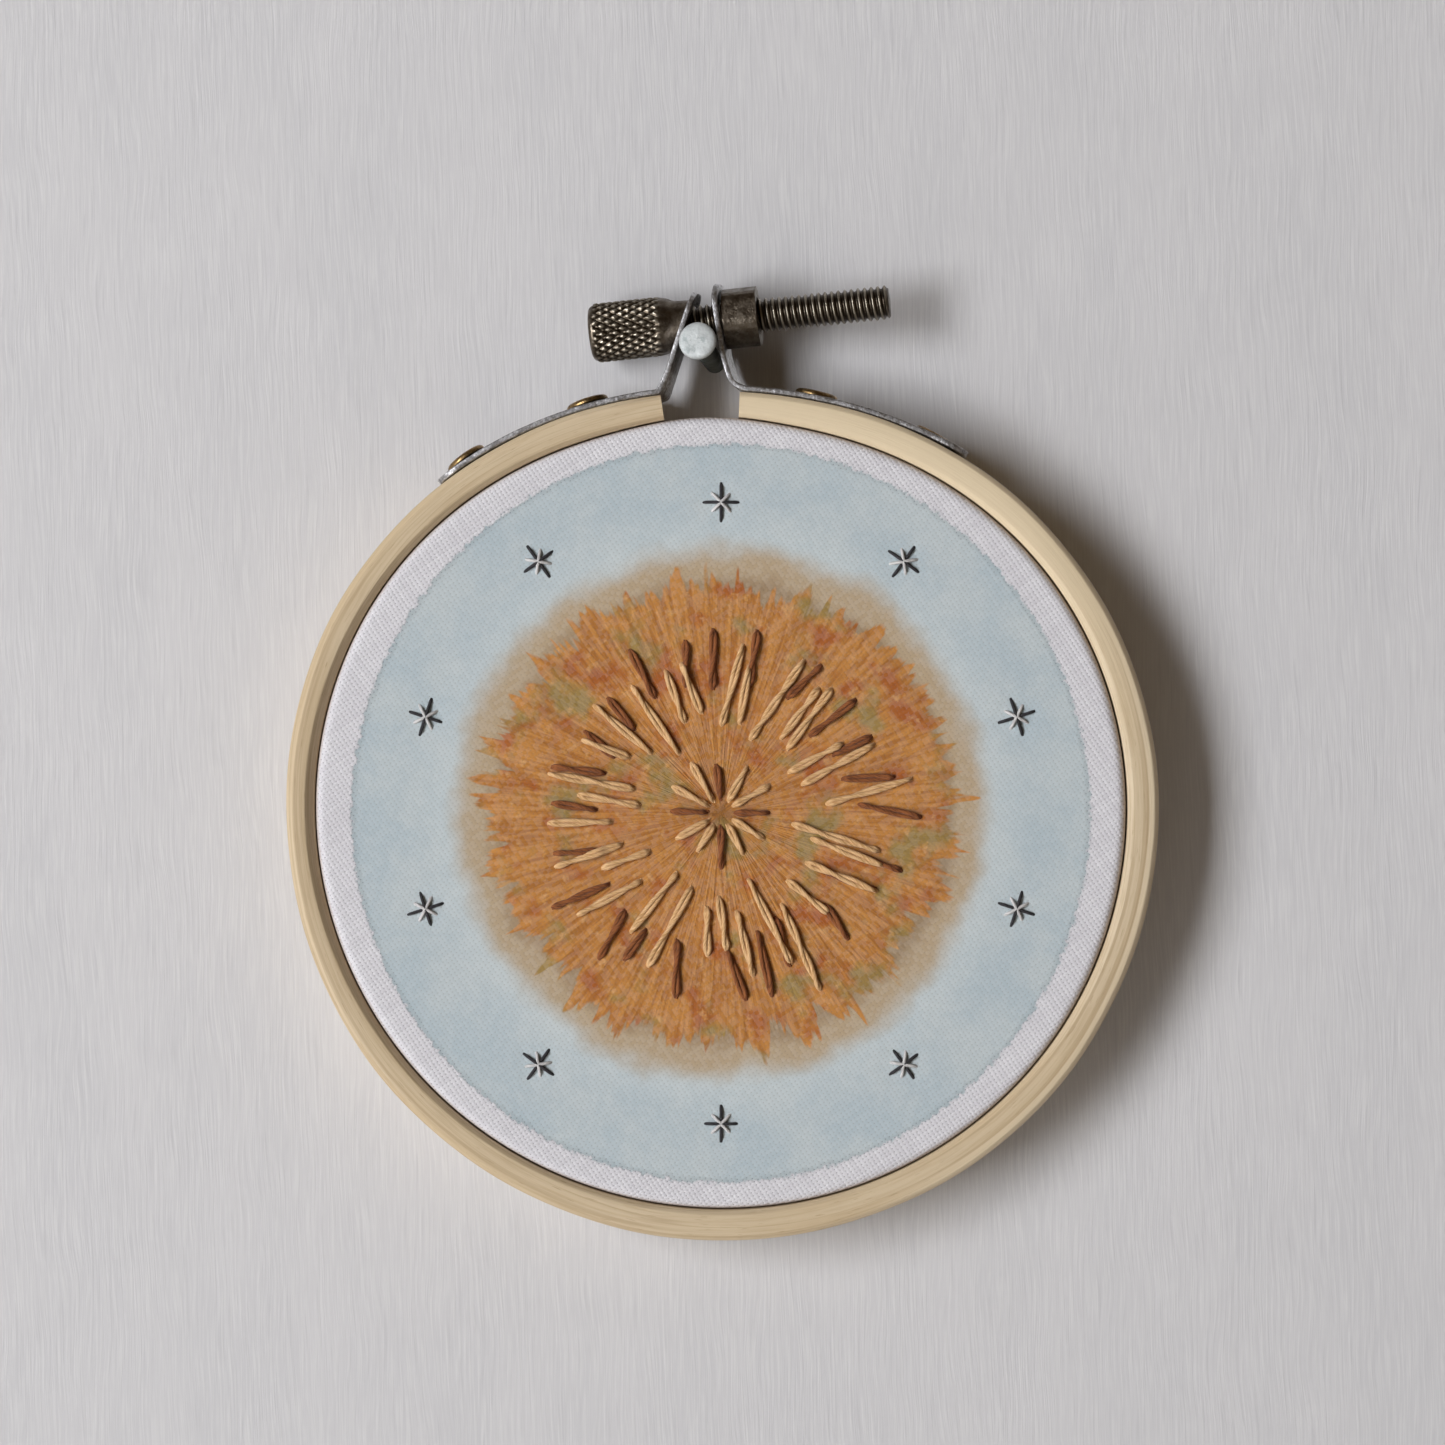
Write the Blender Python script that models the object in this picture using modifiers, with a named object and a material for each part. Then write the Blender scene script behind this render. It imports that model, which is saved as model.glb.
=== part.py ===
"""Hoop embroidery art: stretched cloth in a small screw-tightened wooden embroidery hoop, hung on a nail.

Metres, +Z up. The hoop stands upright in the XZ plane and its front looks along -Y. The wall that it
hangs on is the plane Y = 0, and the origin is where the nail meets that wall. Sizes are written in
millimetres times MM.
"""
import math

import bmesh
import bpy
from mathutils import Matrix, Vector

MM = 0.001
TURN = 2 * math.pi

# Room between pieces that touch on the real hoop, and how near two points count as one
FIT = 0.3 * MM
NEAR = 0.002 * MM

# The hoop's centre, below and beside the nail's wall end
HOOP_X = 0.65 * MM
HOOP_Z = -43.5 * MM

# Bent wood isn't a true circle: it is wider than high, flattened below its screw and a little skewed
OVAL = 0.56 * MM
SKEW = -0.09 * MM
FLAT_TOP = 0.18 * MM
SQUARED = -0.09 * MM
OUTLINE_RADIUS = 38.3 * MM
RING_STEPS = 96

# Outer ring, split at its top
OUTER_INSIDE = 38.3 * MM
WOOD_WALL = 2.8 * MM
OUTER_DEPTH = 8.6 * MM
OUTER_EDGE = 0.55 * MM
GAP_RIGHT = math.radians(87.45)
GAP_LEFT = math.radians(97.65)

# Cloth: its face stretched over the inner ring and its border pressed between the two rings
CLOTH_THICK = 1.0 * MM
CLOTH_RADIUS = OUTER_INSIDE - FIT
CLOTH_FRONT = -8.3 * MM
CLOTH_TRIM = -0.4 * MM
CLOTH_EDGE = 0.5 * MM

# Inner ring, closed, hidden by the cloth and seen only from behind
INNER_OUTSIDE = CLOTH_RADIUS - CLOTH_THICK - FIT
INNER_FRONT = CLOTH_FRONT + CLOTH_THICK + FIT
INNER_EDGE = 0.4 * MM

# Steel strips that bend up into the two tabs
STEEL = 0.52 * MM
STRIP_FRONT = -7.5 * MM
STRIP_BACK = -1.15 * MM
STRIP_CORNER = 2.0 * MM
STRIP_LINE = OUTER_INSIDE + WOOD_WALL + FIT + STEEL / 2
STRIP_STEPS = 14
TAB_TWIST = math.radians(6)
BEND_RISE = 1.6 * MM
LEFT_STRIP_END = math.radians(130.5)
LEFT_STRIP_BEND = math.radians(98.6)
RIGHT_STRIP_END = math.radians(55.4)
RIGHT_STRIP_BEND = math.radians(86.6)
RIGHT_END_LIFT = 0.35 * MM

# Tab centre lines on their front edge, from the bend up, as (X, Z) from the hoop's centre
LEFT_TAB = [(-5.55, 41.15), (-5.1, 42.2), (-4.4, 44.35), (-3.6, 46.8), (-2.75, 49.35), (-2.62, 49.75)]
RIGHT_TAB = [(1.25, 41.0), (0.72, 41.85), (0.12, 43.9), (-0.3, 46.4), (-0.72, 49.1), (-0.55, 50.45)]

# Eyelets that rivet each strip to the wood: name, degrees around the hoop, lift of the strip there
EYELETS = [
    ("eyelet_left_outer", 125.2, 0.0 * MM),
    ("eyelet_left_inner", 108.1, 0.0 * MM),
    ("eyelet_right_inner", 77.1, 0.0 * MM),
    ("eyelet_right_outer", 60.4, 0.2 * MM),
]
EYELET_FLANGE = 2.05 * MM
EYELET_DOME = 0.55 * MM
EYELET_BARREL = 1.15 * MM
EYELET_BORE = 0.75 * MM
EYELET_LIP = 0.1 * MM
EYELET_STEPS = 20
HOLE_LENGTH = 12 * MM

# Screw: its middle lies between the tabs, and its axis rises to the right and turns a little to the front
SCREW_MIDDLE = Vector((-2.0, -4.3, 47.07)) * MM
SCREW_RISE = math.radians(5.57)
SCREW_YAW = math.radians(6)
THREAD_MAJOR = 1.5875 * MM
THREAD_MINOR = 1.25 * MM
THREAD_PITCH = 0.635 * MM
THREAD_START = -0.7 * MM
SCREW_END = 18.3 * MM
NECK_RADIUS = 2.1 * MM
KNOB_RADIUS = 2.75 * MM
KNOB_START = -10.6 * MM
KNOB_CORNER = 0.45 * MM
KNURL_START = -10.1 * MM
KNURL_END = -4.3 * MM
KNURL_ROWS = 12
KNURL_HEIGHT = 0.11 * MM
KNOB_STEPS = 24

# The knob's round cone, which narrows to the neck, as (radius, along)
CONE = [(2.75, -4.15), (2.62, -3.45), (2.4, -3.0), (2.1, -2.76)]

# Hex nut beside the right tab
NUT_START = 2.75 * MM
NUT_LENGTH = 3.3 * MM
NUT_ACROSS_FLATS = 5.5 * MM
NUT_TURN = math.radians(10)
NUT_CHAMFER = 0.25 * MM

# Nail, cut off flush with the wall, as (X, Y, Z) from the hoop's centre
NAIL_WALL_END = Vector((-0.65, 0.0, 43.5)) * MM
NAIL_HEAD_FACE = Vector((-2.3, -10.0, 44.95)) * MM
NAIL_RADIUS = 1.0 * MM
NAIL_HEAD_RADIUS = 1.8 * MM
NAIL_HEAD_THICK = 0.9 * MM
NAIL_HEAD_EDGE = 0.2 * MM
NAIL_STEPS = 24


def clear_scene():
    for item in list(bpy.data.objects):
        bpy.data.objects.remove(item, do_unlink=True)


def new_collection(name):
    group = bpy.data.collections.new(name)
    bpy.context.scene.collection.children.link(group)
    return group


def material(name, colour, roughness, metallic=0.0):
    made = bpy.data.materials.new(name)
    made.use_nodes = True
    shader = made.node_tree.nodes["Principled BSDF"]
    shader.inputs["Base Color"].default_value = (*colour, 1.0)
    shader.inputs["Roughness"].default_value = roughness
    shader.inputs["Metallic"].default_value = metallic
    return made


def place(name, bm, finish, parent, group):
    """Turns a bmesh into a named object under its parent empty."""
    bmesh.ops.remove_doubles(bm, verts=bm.verts, dist=NEAR)
    bmesh.ops.recalc_face_normals(bm, faces=bm.faces)
    mesh = bpy.data.meshes.new(name)
    bm.to_mesh(mesh)
    bm.free()
    mesh.materials.append(finish)
    mesh.shade_smooth()
    mesh.set_sharp_from_angle(angle=math.radians(35))
    made = bpy.data.objects.new(name, mesh)
    made.parent = parent
    group.objects.link(made)
    return made


def empty(name, group, location, turn=None, parent=None):
    made = bpy.data.objects.new(name, None)
    made.empty_display_size = 5 * MM
    made.parent = parent
    made.matrix_local = Matrix.Translation(location) @ (turn or Matrix.Identity(4))
    group.objects.link(made)
    return made


def outline(angle):
    """How far the bent wood stands out from a true circle at an angle from +X."""
    return (
        OVAL * math.cos(2 * angle)
        + SKEW * math.sin(2 * angle)
        + FLAT_TOP * math.sin(3 * angle)
        + SQUARED * math.cos(4 * angle)
    )


def rounded(section, corner_sizes, steps=2):
    """Rounds the corners of a closed section of (radius, y) points, each by its own size."""
    out = []
    for i, size in enumerate(corner_sizes):
        here = Vector(section[i])
        before = (Vector(section[i - 1]) - here).normalized()
        after = (Vector(section[(i + 1) % len(section)]) - here).normalized()
        if not size:
            out.append(tuple(here))
            continue
        centre = here + (before + after) * size
        for k in range(steps + 1):
            angle = math.pi / 2 * k / steps
            out.append(tuple(centre - after * size * math.cos(angle) - before * size * math.sin(angle)))
    return out


def spun(section, steps, axis, closed=True, start=0.0, sweep=TURN):
    """Sweeps a section of (radius, along) points about the Y axis or the X axis."""
    bm = bmesh.new()
    if axis == "Y":
        points = [Vector((radius, along, 0)) for radius, along in section]
        centre_line = Vector((0, -1, 0))
    else:
        points = [Vector((along, radius, 0)) for radius, along in section]
        centre_line = Vector((1, 0, 0))
    first = Matrix.Rotation(start, 3, centre_line)
    verts = [bm.verts.new(first @ point) for point in points]
    edges = [bm.edges.new(pair) for pair in zip(verts, verts[1:])]
    if closed:
        edges.append(bm.edges.new((verts[-1], verts[0])))
    full = abs(sweep - TURN) < 1e-6
    if not full:
        bm.faces.new(verts)
    swept = bmesh.ops.spin(
        bm, geom=verts + edges, axis=centre_line, cent=(0, 0, 0), angle=sweep, steps=steps, use_merge=full
    )
    if not full:
        bm.faces.new([item for item in swept["geom_last"] if isinstance(item, bmesh.types.BMVert)])
    return bm


def follow_outline(bm):
    """Moves a ring's points from a true circle to the hoop's outline, less and less towards its centre."""
    for vert in bm.verts:
        radius = math.hypot(vert.co.x, vert.co.z)
        if radius < FIT:
            continue
        push = outline(math.atan2(vert.co.z, vert.co.x)) * min(1.0, radius / OUTLINE_RADIUS)
        vert.co.x *= 1 + push / radius
        vert.co.z *= 1 + push / radius


def ring_section(inside, outside, front, back, edge):
    corners = [(inside, front), (outside, front), (outside, back), (inside, back)]
    return rounded(corners, [edge] * 4)


def outer_ring(finish, parent, group):
    section = ring_section(OUTER_INSIDE, OUTER_INSIDE + WOOD_WALL, -OUTER_DEPTH, 0.0, OUTER_EDGE)
    sweep = TURN - (GAP_LEFT - GAP_RIGHT)
    bm = spun(section, RING_STEPS, "Y", start=GAP_LEFT, sweep=sweep)
    follow_outline(bm)
    return place("outer_ring", bm, finish, parent, group)


def inner_ring(finish, parent, group):
    section = ring_section(INNER_OUTSIDE - WOOD_WALL, INNER_OUTSIDE, INNER_FRONT, 0.0, INNER_EDGE)
    bm = spun(section, RING_STEPS, "Y")
    follow_outline(bm)
    return place("inner_ring", bm, finish, parent, group)


def cloth(finish, parent, group):
    """One sheet: a flat round face that turns back over the inner ring and ends just short of the wall."""
    inside = CLOTH_RADIUS - CLOTH_THICK
    face_rings = [0.0, 0.3, 0.6, 0.85]
    section = [(inside * part, CLOTH_FRONT) for part in face_rings]
    turned_back = [(0.0, CLOTH_FRONT), (CLOTH_RADIUS, CLOTH_FRONT), (CLOTH_RADIUS, CLOTH_TRIM)]
    section += rounded(turned_back, [0, CLOTH_EDGE, 0], steps=3)[1:]
    section += [(inside, CLOTH_TRIM), (inside, CLOTH_FRONT + CLOTH_THICK)]
    section += [(inside * part, CLOTH_FRONT + CLOTH_THICK) for part in reversed(face_rings)]
    bm = spun(section, RING_STEPS, "Y", closed=False)
    follow_outline(bm)
    return place("cloth", bm, finish, parent, group)


def strip_point(angle, lift=0.0):
    radius = STRIP_LINE + outline(angle) + lift
    return Vector((radius * math.cos(angle), radius * math.sin(angle)))


def bracket_line(strip_end, strip_bend, lift, tab):
    """Centre line of a bracket in (X, Z), along the wood and up its tab, with the distance run so far."""
    points = []
    for i in range(STRIP_STEPS + 1):
        part = (i / STRIP_STEPS) ** 1.5
        points.append(strip_point(strip_end + (strip_bend - strip_end) * part, lift * (1 - part) ** 3))
    points += [Vector(point) * MM for point in tab]
    run = [0.0]
    for a, b in zip(points, points[1:]):
        run.append(run[-1] + (b - a).length)
    return points, run


def corner_inset(distance):
    """How far the strip's edge is drawn in at a distance from its rounded end."""
    if distance >= STRIP_CORNER:
        return 0.0
    return STRIP_CORNER - math.sqrt(STRIP_CORNER**2 - (STRIP_CORNER - distance) ** 2)


def bracket(name, strip_end, strip_bend, lift, tab, finish, parent, group):
    """A steel strip riveted along the wood, bent up into a tab that is slightly twisted by the screw."""
    points, run = bracket_line(strip_end, strip_bend, lift, tab)
    bend_run = run[STRIP_STEPS]
    bm = bmesh.new()
    rows = []
    for point, here in zip(points, run):
        inset = corner_inset(here) + corner_inset(run[-1] - here)
        twist = math.tan(TAB_TWIST) * min(1.0, max(0.0, (here - bend_run) / BEND_RISE))
        row = []
        for y in (STRIP_FRONT + inset, STRIP_BACK - inset):
            row.append(bm.verts.new((point.x + twist * (y - STRIP_FRONT), y, point.y)))
        rows.append(row)
    for (a, b), (c, d) in zip(rows, rows[1:]):
        bm.faces.new((a, b, d, c))
    made = place(name, bm, finish, parent, group)
    plate = made.modifiers.new("Steel", "SOLIDIFY")
    plate.thickness = STEEL
    plate.offset = 0.0
    plate.use_even_offset = True
    return made


def round_cutter(name, radius, length, place_at, parent, group):
    """A round cutter with its length along its own Z axis."""
    bm = bmesh.new()
    bmesh.ops.create_cone(
        bm,
        cap_ends=True,
        segments=EYELET_STEPS,
        radius1=radius,
        radius2=radius,
        depth=length,
        matrix=place_at,
    )
    mesh = bpy.data.meshes.new(name)
    bm.to_mesh(mesh)
    bm.free()
    cutter = bpy.data.objects.new(name, mesh)
    cutter.parent = parent
    cutter.hide_render = True
    cutter.display_type = "WIRE"
    group.objects.link(cutter)
    return cutter


def cut(target, cutter):
    boolean = target.modifiers.new("Cut", "BOOLEAN")
    boolean.operation = "DIFFERENCE"
    boolean.solver = "EXACT"
    boolean.object = cutter


def eyelet_frame(angle):
    """Local Z runs out of the hoop at this angle, from the outer face of the strip at mid-width."""
    radius = STRIP_LINE + STEEL / 2 + outline(angle)
    centre = Vector((radius * math.cos(angle), (STRIP_FRONT + STRIP_BACK) / 2, radius * math.sin(angle)))
    return Matrix.Translation(centre) @ Matrix.Rotation(math.pi / 2 - angle, 4, "Y")


def eyelet(name, angle, lift, finish, parent, group):
    """A domed brass eyelet: a turned profile that runs down its outer side and back up its bore."""
    barrel_end = -(STEEL + WOOD_WALL)
    profile = [
        (EYELET_BORE, EYELET_DOME * 0.75),
        (EYELET_BARREL, EYELET_DOME),
        (EYELET_FLANGE * 0.8, EYELET_DOME * 0.75),
        (EYELET_FLANGE, EYELET_LIP),
        (EYELET_FLANGE, 0.0),
        (EYELET_BARREL, 0.0),
        (EYELET_BARREL, barrel_end),
        (EYELET_BORE, barrel_end),
    ]
    bm = bmesh.new()
    verts = [bm.verts.new((radius, 0, height + lift + FIT)) for radius, height in profile]
    for a, b in zip(verts, verts[1:] + verts[:1]):
        bm.edges.new((a, b))
    mesh = bpy.data.meshes.new(name)
    bm.to_mesh(mesh)
    bm.free()
    mesh.materials.append(finish)
    made = bpy.data.objects.new(name, mesh)
    made.parent = parent
    made.matrix_local = eyelet_frame(angle)
    group.objects.link(made)
    turn = made.modifiers.new("Turned", "SCREW")
    turn.axis = "Z"
    turn.steps = EYELET_STEPS
    turn.render_steps = EYELET_STEPS
    turn.use_merge_vertices = True
    turn.merge_threshold = NEAR
    turn.use_smooth_shade = True
    return made


def thumbscrew(finish, parent, group):
    """Knurled knob, plain neck and ringed thread, turned as one piece about the parent's X axis."""
    rows = [KNURL_START + (KNURL_END - KNURL_START) * i / KNURL_ROWS for i in range(KNURL_ROWS + 1)]
    profile = [
        (0.0, KNOB_START),
        (KNOB_RADIUS - KNOB_CORNER, KNOB_START),
        (KNOB_RADIUS - KNOB_CORNER / 4, KNOB_START + KNOB_CORNER / 2),
    ]
    profile += [(KNOB_RADIUS, row) for row in rows]
    profile += [(radius * MM, along * MM) for radius, along in CONE]
    profile.append((NECK_RADIUS, THREAD_START - THREAD_PITCH / 4))
    crests = int((SCREW_END - THREAD_START) / THREAD_PITCH)
    for i in range(crests):
        root = THREAD_START + i * THREAD_PITCH
        profile += [(THREAD_MINOR, root), (THREAD_MAJOR, root + THREAD_PITCH / 2)]
    profile += [(THREAD_MINOR, SCREW_END), (0.0, SCREW_END)]
    bm = spun(profile, KNOB_STEPS, "X", closed=False)
    step = TURN / KNOB_STEPS
    for vert in bm.verts:
        for i, row in enumerate(rows[1:-1]):
            if abs(vert.co.x - row) < NEAR:
                around = round(math.atan2(vert.co.z, vert.co.y) / step)
                radius = KNOB_RADIUS + KNURL_HEIGHT * (1 if (i + around) % 2 else -1)
                scale = radius / math.hypot(vert.co.y, vert.co.z)
                vert.co.y *= scale
                vert.co.z *= scale
    return place("thumbscrew", bm, finish, parent, group)


def hex_nut(finish, parent, group, cutters):
    bm = bmesh.new()
    corner = NUT_ACROSS_FLATS / math.sqrt(3)
    along_x = Matrix.Rotation(math.pi / 2, 4, "Y") @ Matrix.Rotation(NUT_TURN, 4, "Z")
    bmesh.ops.create_cone(
        bm,
        cap_ends=True,
        segments=6,
        radius1=corner,
        radius2=corner,
        depth=NUT_LENGTH,
        matrix=along_x,
    )
    made = place("nut", bm, finish, parent, group)
    chamfer = made.modifiers.new("Chamfer", "BEVEL")
    chamfer.width = NUT_CHAMFER
    chamfer.segments = 1
    cut(made, round_cutter("nut_bore", THREAD_MAJOR + FIT, HOLE_LENGTH, along_x, parent, cutters))
    return made


def nail(finish, parent, group):
    """A short stretch of nail from its head to the wall plane, where it is cut flush."""
    run = NAIL_WALL_END - NAIL_HEAD_FACE
    past_wall = run.length + NAIL_RADIUS
    profile = [
        (0.0, 0.0),
        (NAIL_HEAD_RADIUS - NAIL_HEAD_EDGE, 0.0),
        (NAIL_HEAD_RADIUS, NAIL_HEAD_EDGE),
        (NAIL_HEAD_RADIUS, NAIL_HEAD_THICK - NAIL_HEAD_EDGE),
        (NAIL_HEAD_RADIUS - NAIL_HEAD_EDGE, NAIL_HEAD_THICK),
        (NAIL_RADIUS, NAIL_HEAD_THICK),
        (NAIL_RADIUS, past_wall),
        (0.0, past_wall),
    ]
    bm = spun(profile, NAIL_STEPS, "X", closed=False)
    into_wall = run.to_track_quat("X", "Z").to_matrix().to_4x4()
    bmesh.ops.transform(bm, matrix=Matrix.Translation(NAIL_HEAD_FACE) @ into_wall, verts=bm.verts)
    everything = bm.verts[:] + bm.edges[:] + bm.faces[:]
    sliced = bmesh.ops.bisect_plane(
        bm, geom=everything, plane_co=(0, 0, 0), plane_no=(0, 1, 0), clear_outer=True
    )
    rim = [item for item in sliced["geom_cut"] if isinstance(item, bmesh.types.BMEdge)]
    bmesh.ops.contextual_create(bm, geom=rim)
    return place("nail", bm, finish, parent, group)


def main():
    clear_scene()
    parts = new_collection("hoop_embroidery_art")
    cutters = new_collection("cutters")
    wood = material("pale_wood", (0.62, 0.47, 0.27), 0.5)
    linen = material("painted_cloth", (0.55, 0.60, 0.60), 0.9)
    steel = material("steel", (0.35, 0.35, 0.36), 0.4, 1.0)
    brass = material("brass", (0.55, 0.38, 0.16), 0.35, 1.0)
    bronze = material("antique_brass", (0.22, 0.18, 0.13), 0.4, 1.0)
    zinc = material("zinc", (0.68, 0.70, 0.70), 0.45, 1.0)

    hoop = empty("hoop_centre", parts, (HOOP_X, 0, HOOP_Z))
    lay_along = Matrix.Rotation(-SCREW_YAW, 4, "Z") @ Matrix.Rotation(-SCREW_RISE, 4, "Y")
    screw_axis = empty("screw_axis", parts, SCREW_MIDDLE, lay_along, hoop)
    nut_middle = empty("nut_middle", parts, (NUT_START + NUT_LENGTH / 2, 0, 0), None, screw_axis)

    wooden = outer_ring(wood, hoop, parts)
    inner_ring(wood, hoop, parts)
    cloth(linen, hoop, parts)
    left = bracket("bracket_left", LEFT_STRIP_END, LEFT_STRIP_BEND, 0.0, LEFT_TAB, steel, hoop, parts)
    right = bracket(
        "bracket_right", RIGHT_STRIP_END, RIGHT_STRIP_BEND, RIGHT_END_LIFT, RIGHT_TAB, steel, hoop, parts
    )

    along_x = Matrix.Rotation(math.pi / 2, 4, "Y")
    cut(left, round_cutter("neck_hole", NECK_RADIUS + FIT, HOLE_LENGTH, along_x, screw_axis, cutters))
    cut(right, round_cutter("screw_hole", THREAD_MAJOR + FIT, HOLE_LENGTH, along_x, screw_axis, cutters))

    for name, degrees, lift in EYELETS:
        angle = math.radians(degrees)
        eyelet(name, angle, lift, brass, hoop, parts)
        frame = eyelet_frame(angle)
        hole = round_cutter(f"{name}_hole", EYELET_BARREL + FIT, HOLE_LENGTH, frame, hoop, cutters)
        cut(wooden, hole)
        cut(left if degrees > 90 else right, hole)

    thumbscrew(bronze, screw_axis, parts)
    hex_nut(bronze, nut_middle, parts, cutters)
    nail(zinc, hoop, parts)
    bpy.context.view_layer.update()


main()
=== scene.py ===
import math
import random

import bmesh
import bpy
import numpy as np
from mathutils import Matrix, Vector

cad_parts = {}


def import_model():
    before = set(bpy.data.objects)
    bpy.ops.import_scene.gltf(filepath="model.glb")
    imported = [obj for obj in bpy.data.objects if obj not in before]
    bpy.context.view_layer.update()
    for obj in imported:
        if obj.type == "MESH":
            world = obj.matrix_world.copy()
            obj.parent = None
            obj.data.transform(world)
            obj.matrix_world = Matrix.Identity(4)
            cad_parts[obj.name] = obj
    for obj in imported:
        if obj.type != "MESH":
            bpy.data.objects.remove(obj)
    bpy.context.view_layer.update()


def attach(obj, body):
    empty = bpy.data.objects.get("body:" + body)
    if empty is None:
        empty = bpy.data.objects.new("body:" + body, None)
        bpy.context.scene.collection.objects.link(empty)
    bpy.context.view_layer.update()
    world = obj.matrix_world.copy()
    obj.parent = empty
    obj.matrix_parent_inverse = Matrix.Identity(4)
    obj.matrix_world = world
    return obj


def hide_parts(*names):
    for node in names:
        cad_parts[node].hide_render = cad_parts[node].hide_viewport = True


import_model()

MM = 0.001
TURN = 2 * math.pi

# Sizes in millimetres, from the middle of the hoop. Most repeat the CAD model's, and a few fit closer
HOOP = Vector((0.65, 0.0, -43.5))
OUTER_INSIDE = 38.3
OUTER_FRONT = -8.6
GAP_RIGHT = math.radians(87.45)
GAP_LEFT = math.radians(98.25)
GAP_MIDDLE = math.radians(92.6)
OUTER_WALL = 2.8
INNER_INSIDE = 34.4
INNER_WALL = 3.05
INNER_FRONT = -7.85
INNER_START = math.radians(200)
BACK_EASE = 0.4
GRAIN_LINE = 1.4
STRIP_LINE = 41.37
STRIP_FRONT = -7.8
STRIP_BACK = -1.6
RIGHT_STRIP_BACK = -0.8
STEEL = 0.52
STEEL_EDGE = 0.12
STRIP_CORNER = 2.0
TAB_HOLES = {"left": 2.5, "right": 1.95}
TAB_TWIST = math.tan(math.radians(6))

# Cloth: a thin sheet over the inner ring
SHEET_FRONT = -8.45
SHEET_THICK = 0.35
SHEET_RADIUS = 38.2
SHEET_ROLL = 0.85
SHEET_TRIM = -0.4
WARP = 0.407
WEFT = 0.362
WEAVE_TURN = math.radians(34)
PAINT_RADIUS = 35.15

EYELETS = {
    "eyelet_left_outer": (125.8, 0.0),
    "eyelet_left_inner": (108.1, 0.0),
    "eyelet_right_inner": (77.1, 0.0),
    "eyelet_right_outer": (60.4, -0.08),
}
EYELET_TILTS = {"left": -5.0, "right": -0.5}
WOOD_EYELET_HOLE = 1.2
STEEL_EYELET_HOLE = 1.3
SCREW_MIDDLE = Vector((-2.0, -4.3, 47.07))
SCREW_FRAME = Matrix.Rotation(math.radians(-6), 4, "Z") @ Matrix.Rotation(math.radians(-5.57), 4, "Y")
PITCH = 0.635
MAJOR = 1.64
MINOR = 1.36
SCREW_END = 18.3
NUT_START = 2.4
NUT_LENGTH = 3.3
NUT_ACROSS = 5.5
NUT_TURN = math.radians(15.7)
KNURL_RADIUS = 2.78
KNURL_START = -10.1
KNURL_LENGTH = 6.2
KNURL_ROWS = 52
KNURL_STARTS = 22
KNURL_PITCH = 1.32
THREAD_START = -0.9
NAIL_WALL_END = Vector((-0.65, 0.0, 43.5))
NAIL_HEAD_FACE = Vector((-2.3, -10.0, 44.95))

# Stage, in metres
WALL_BACK = 0.0003
STAGE_HALF = 2.0
FLOOR_HALF = 2.2
FLOOR_LEVEL = -0.7
WALL_TOP = 1.6
KEY_AWAY = 2.2
KEY_SIDE = math.radians(42.3)
KEY_UP = math.radians(-4.0)
KEY_SIZE = (0.78, 2.0)
KEY_POWER = 66.2
CAMERA_PLACE = (0.00079, -0.5086, -0.03488)
SENSOR = 36.0
LENS = SENSOR * 500.0 / 137.62


# Meshes

def world(points):
    """Points in hoop millimetres as an array of world metres."""
    return (np.asarray(points, dtype=float) + np.array(HOOP)) * MM


def smooth(part):
    part = np.clip(part, 0.0, 1.0)
    return part * part * (3 - 2 * part)


def outline(angle):
    """How far the bent wood stands out from a true circle."""
    return (
        0.56 * np.cos(2 * angle)
        - 0.09 * np.sin(2 * angle)
        + 0.18 * np.sin(3 * angle)
        - 0.09 * np.cos(4 * angle)
    )


def thinned(angle):
    """How much the outer ring's inner side is shaved away near its two ends."""
    return 0.42 * np.exp(-(((np.asarray(angle) % TURN - GAP_MIDDLE) / 0.17) ** 2))


def quads(rows, columns, close_rows=False, close_columns=False):
    """Faces of a grid of points numbered row by row."""
    r = np.arange(rows if close_rows else rows - 1)
    c = np.arange(columns if close_columns else columns - 1)
    r, c = np.meshgrid(r, c, indexing="ij")
    r2 = (r + 1) % rows
    c2 = (c + 1) % columns
    corners = [r * columns + c, r * columns + c2, r2 * columns + c2, r2 * columns + c]
    return np.stack(corners, axis=-1).reshape(-1, 4)


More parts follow.
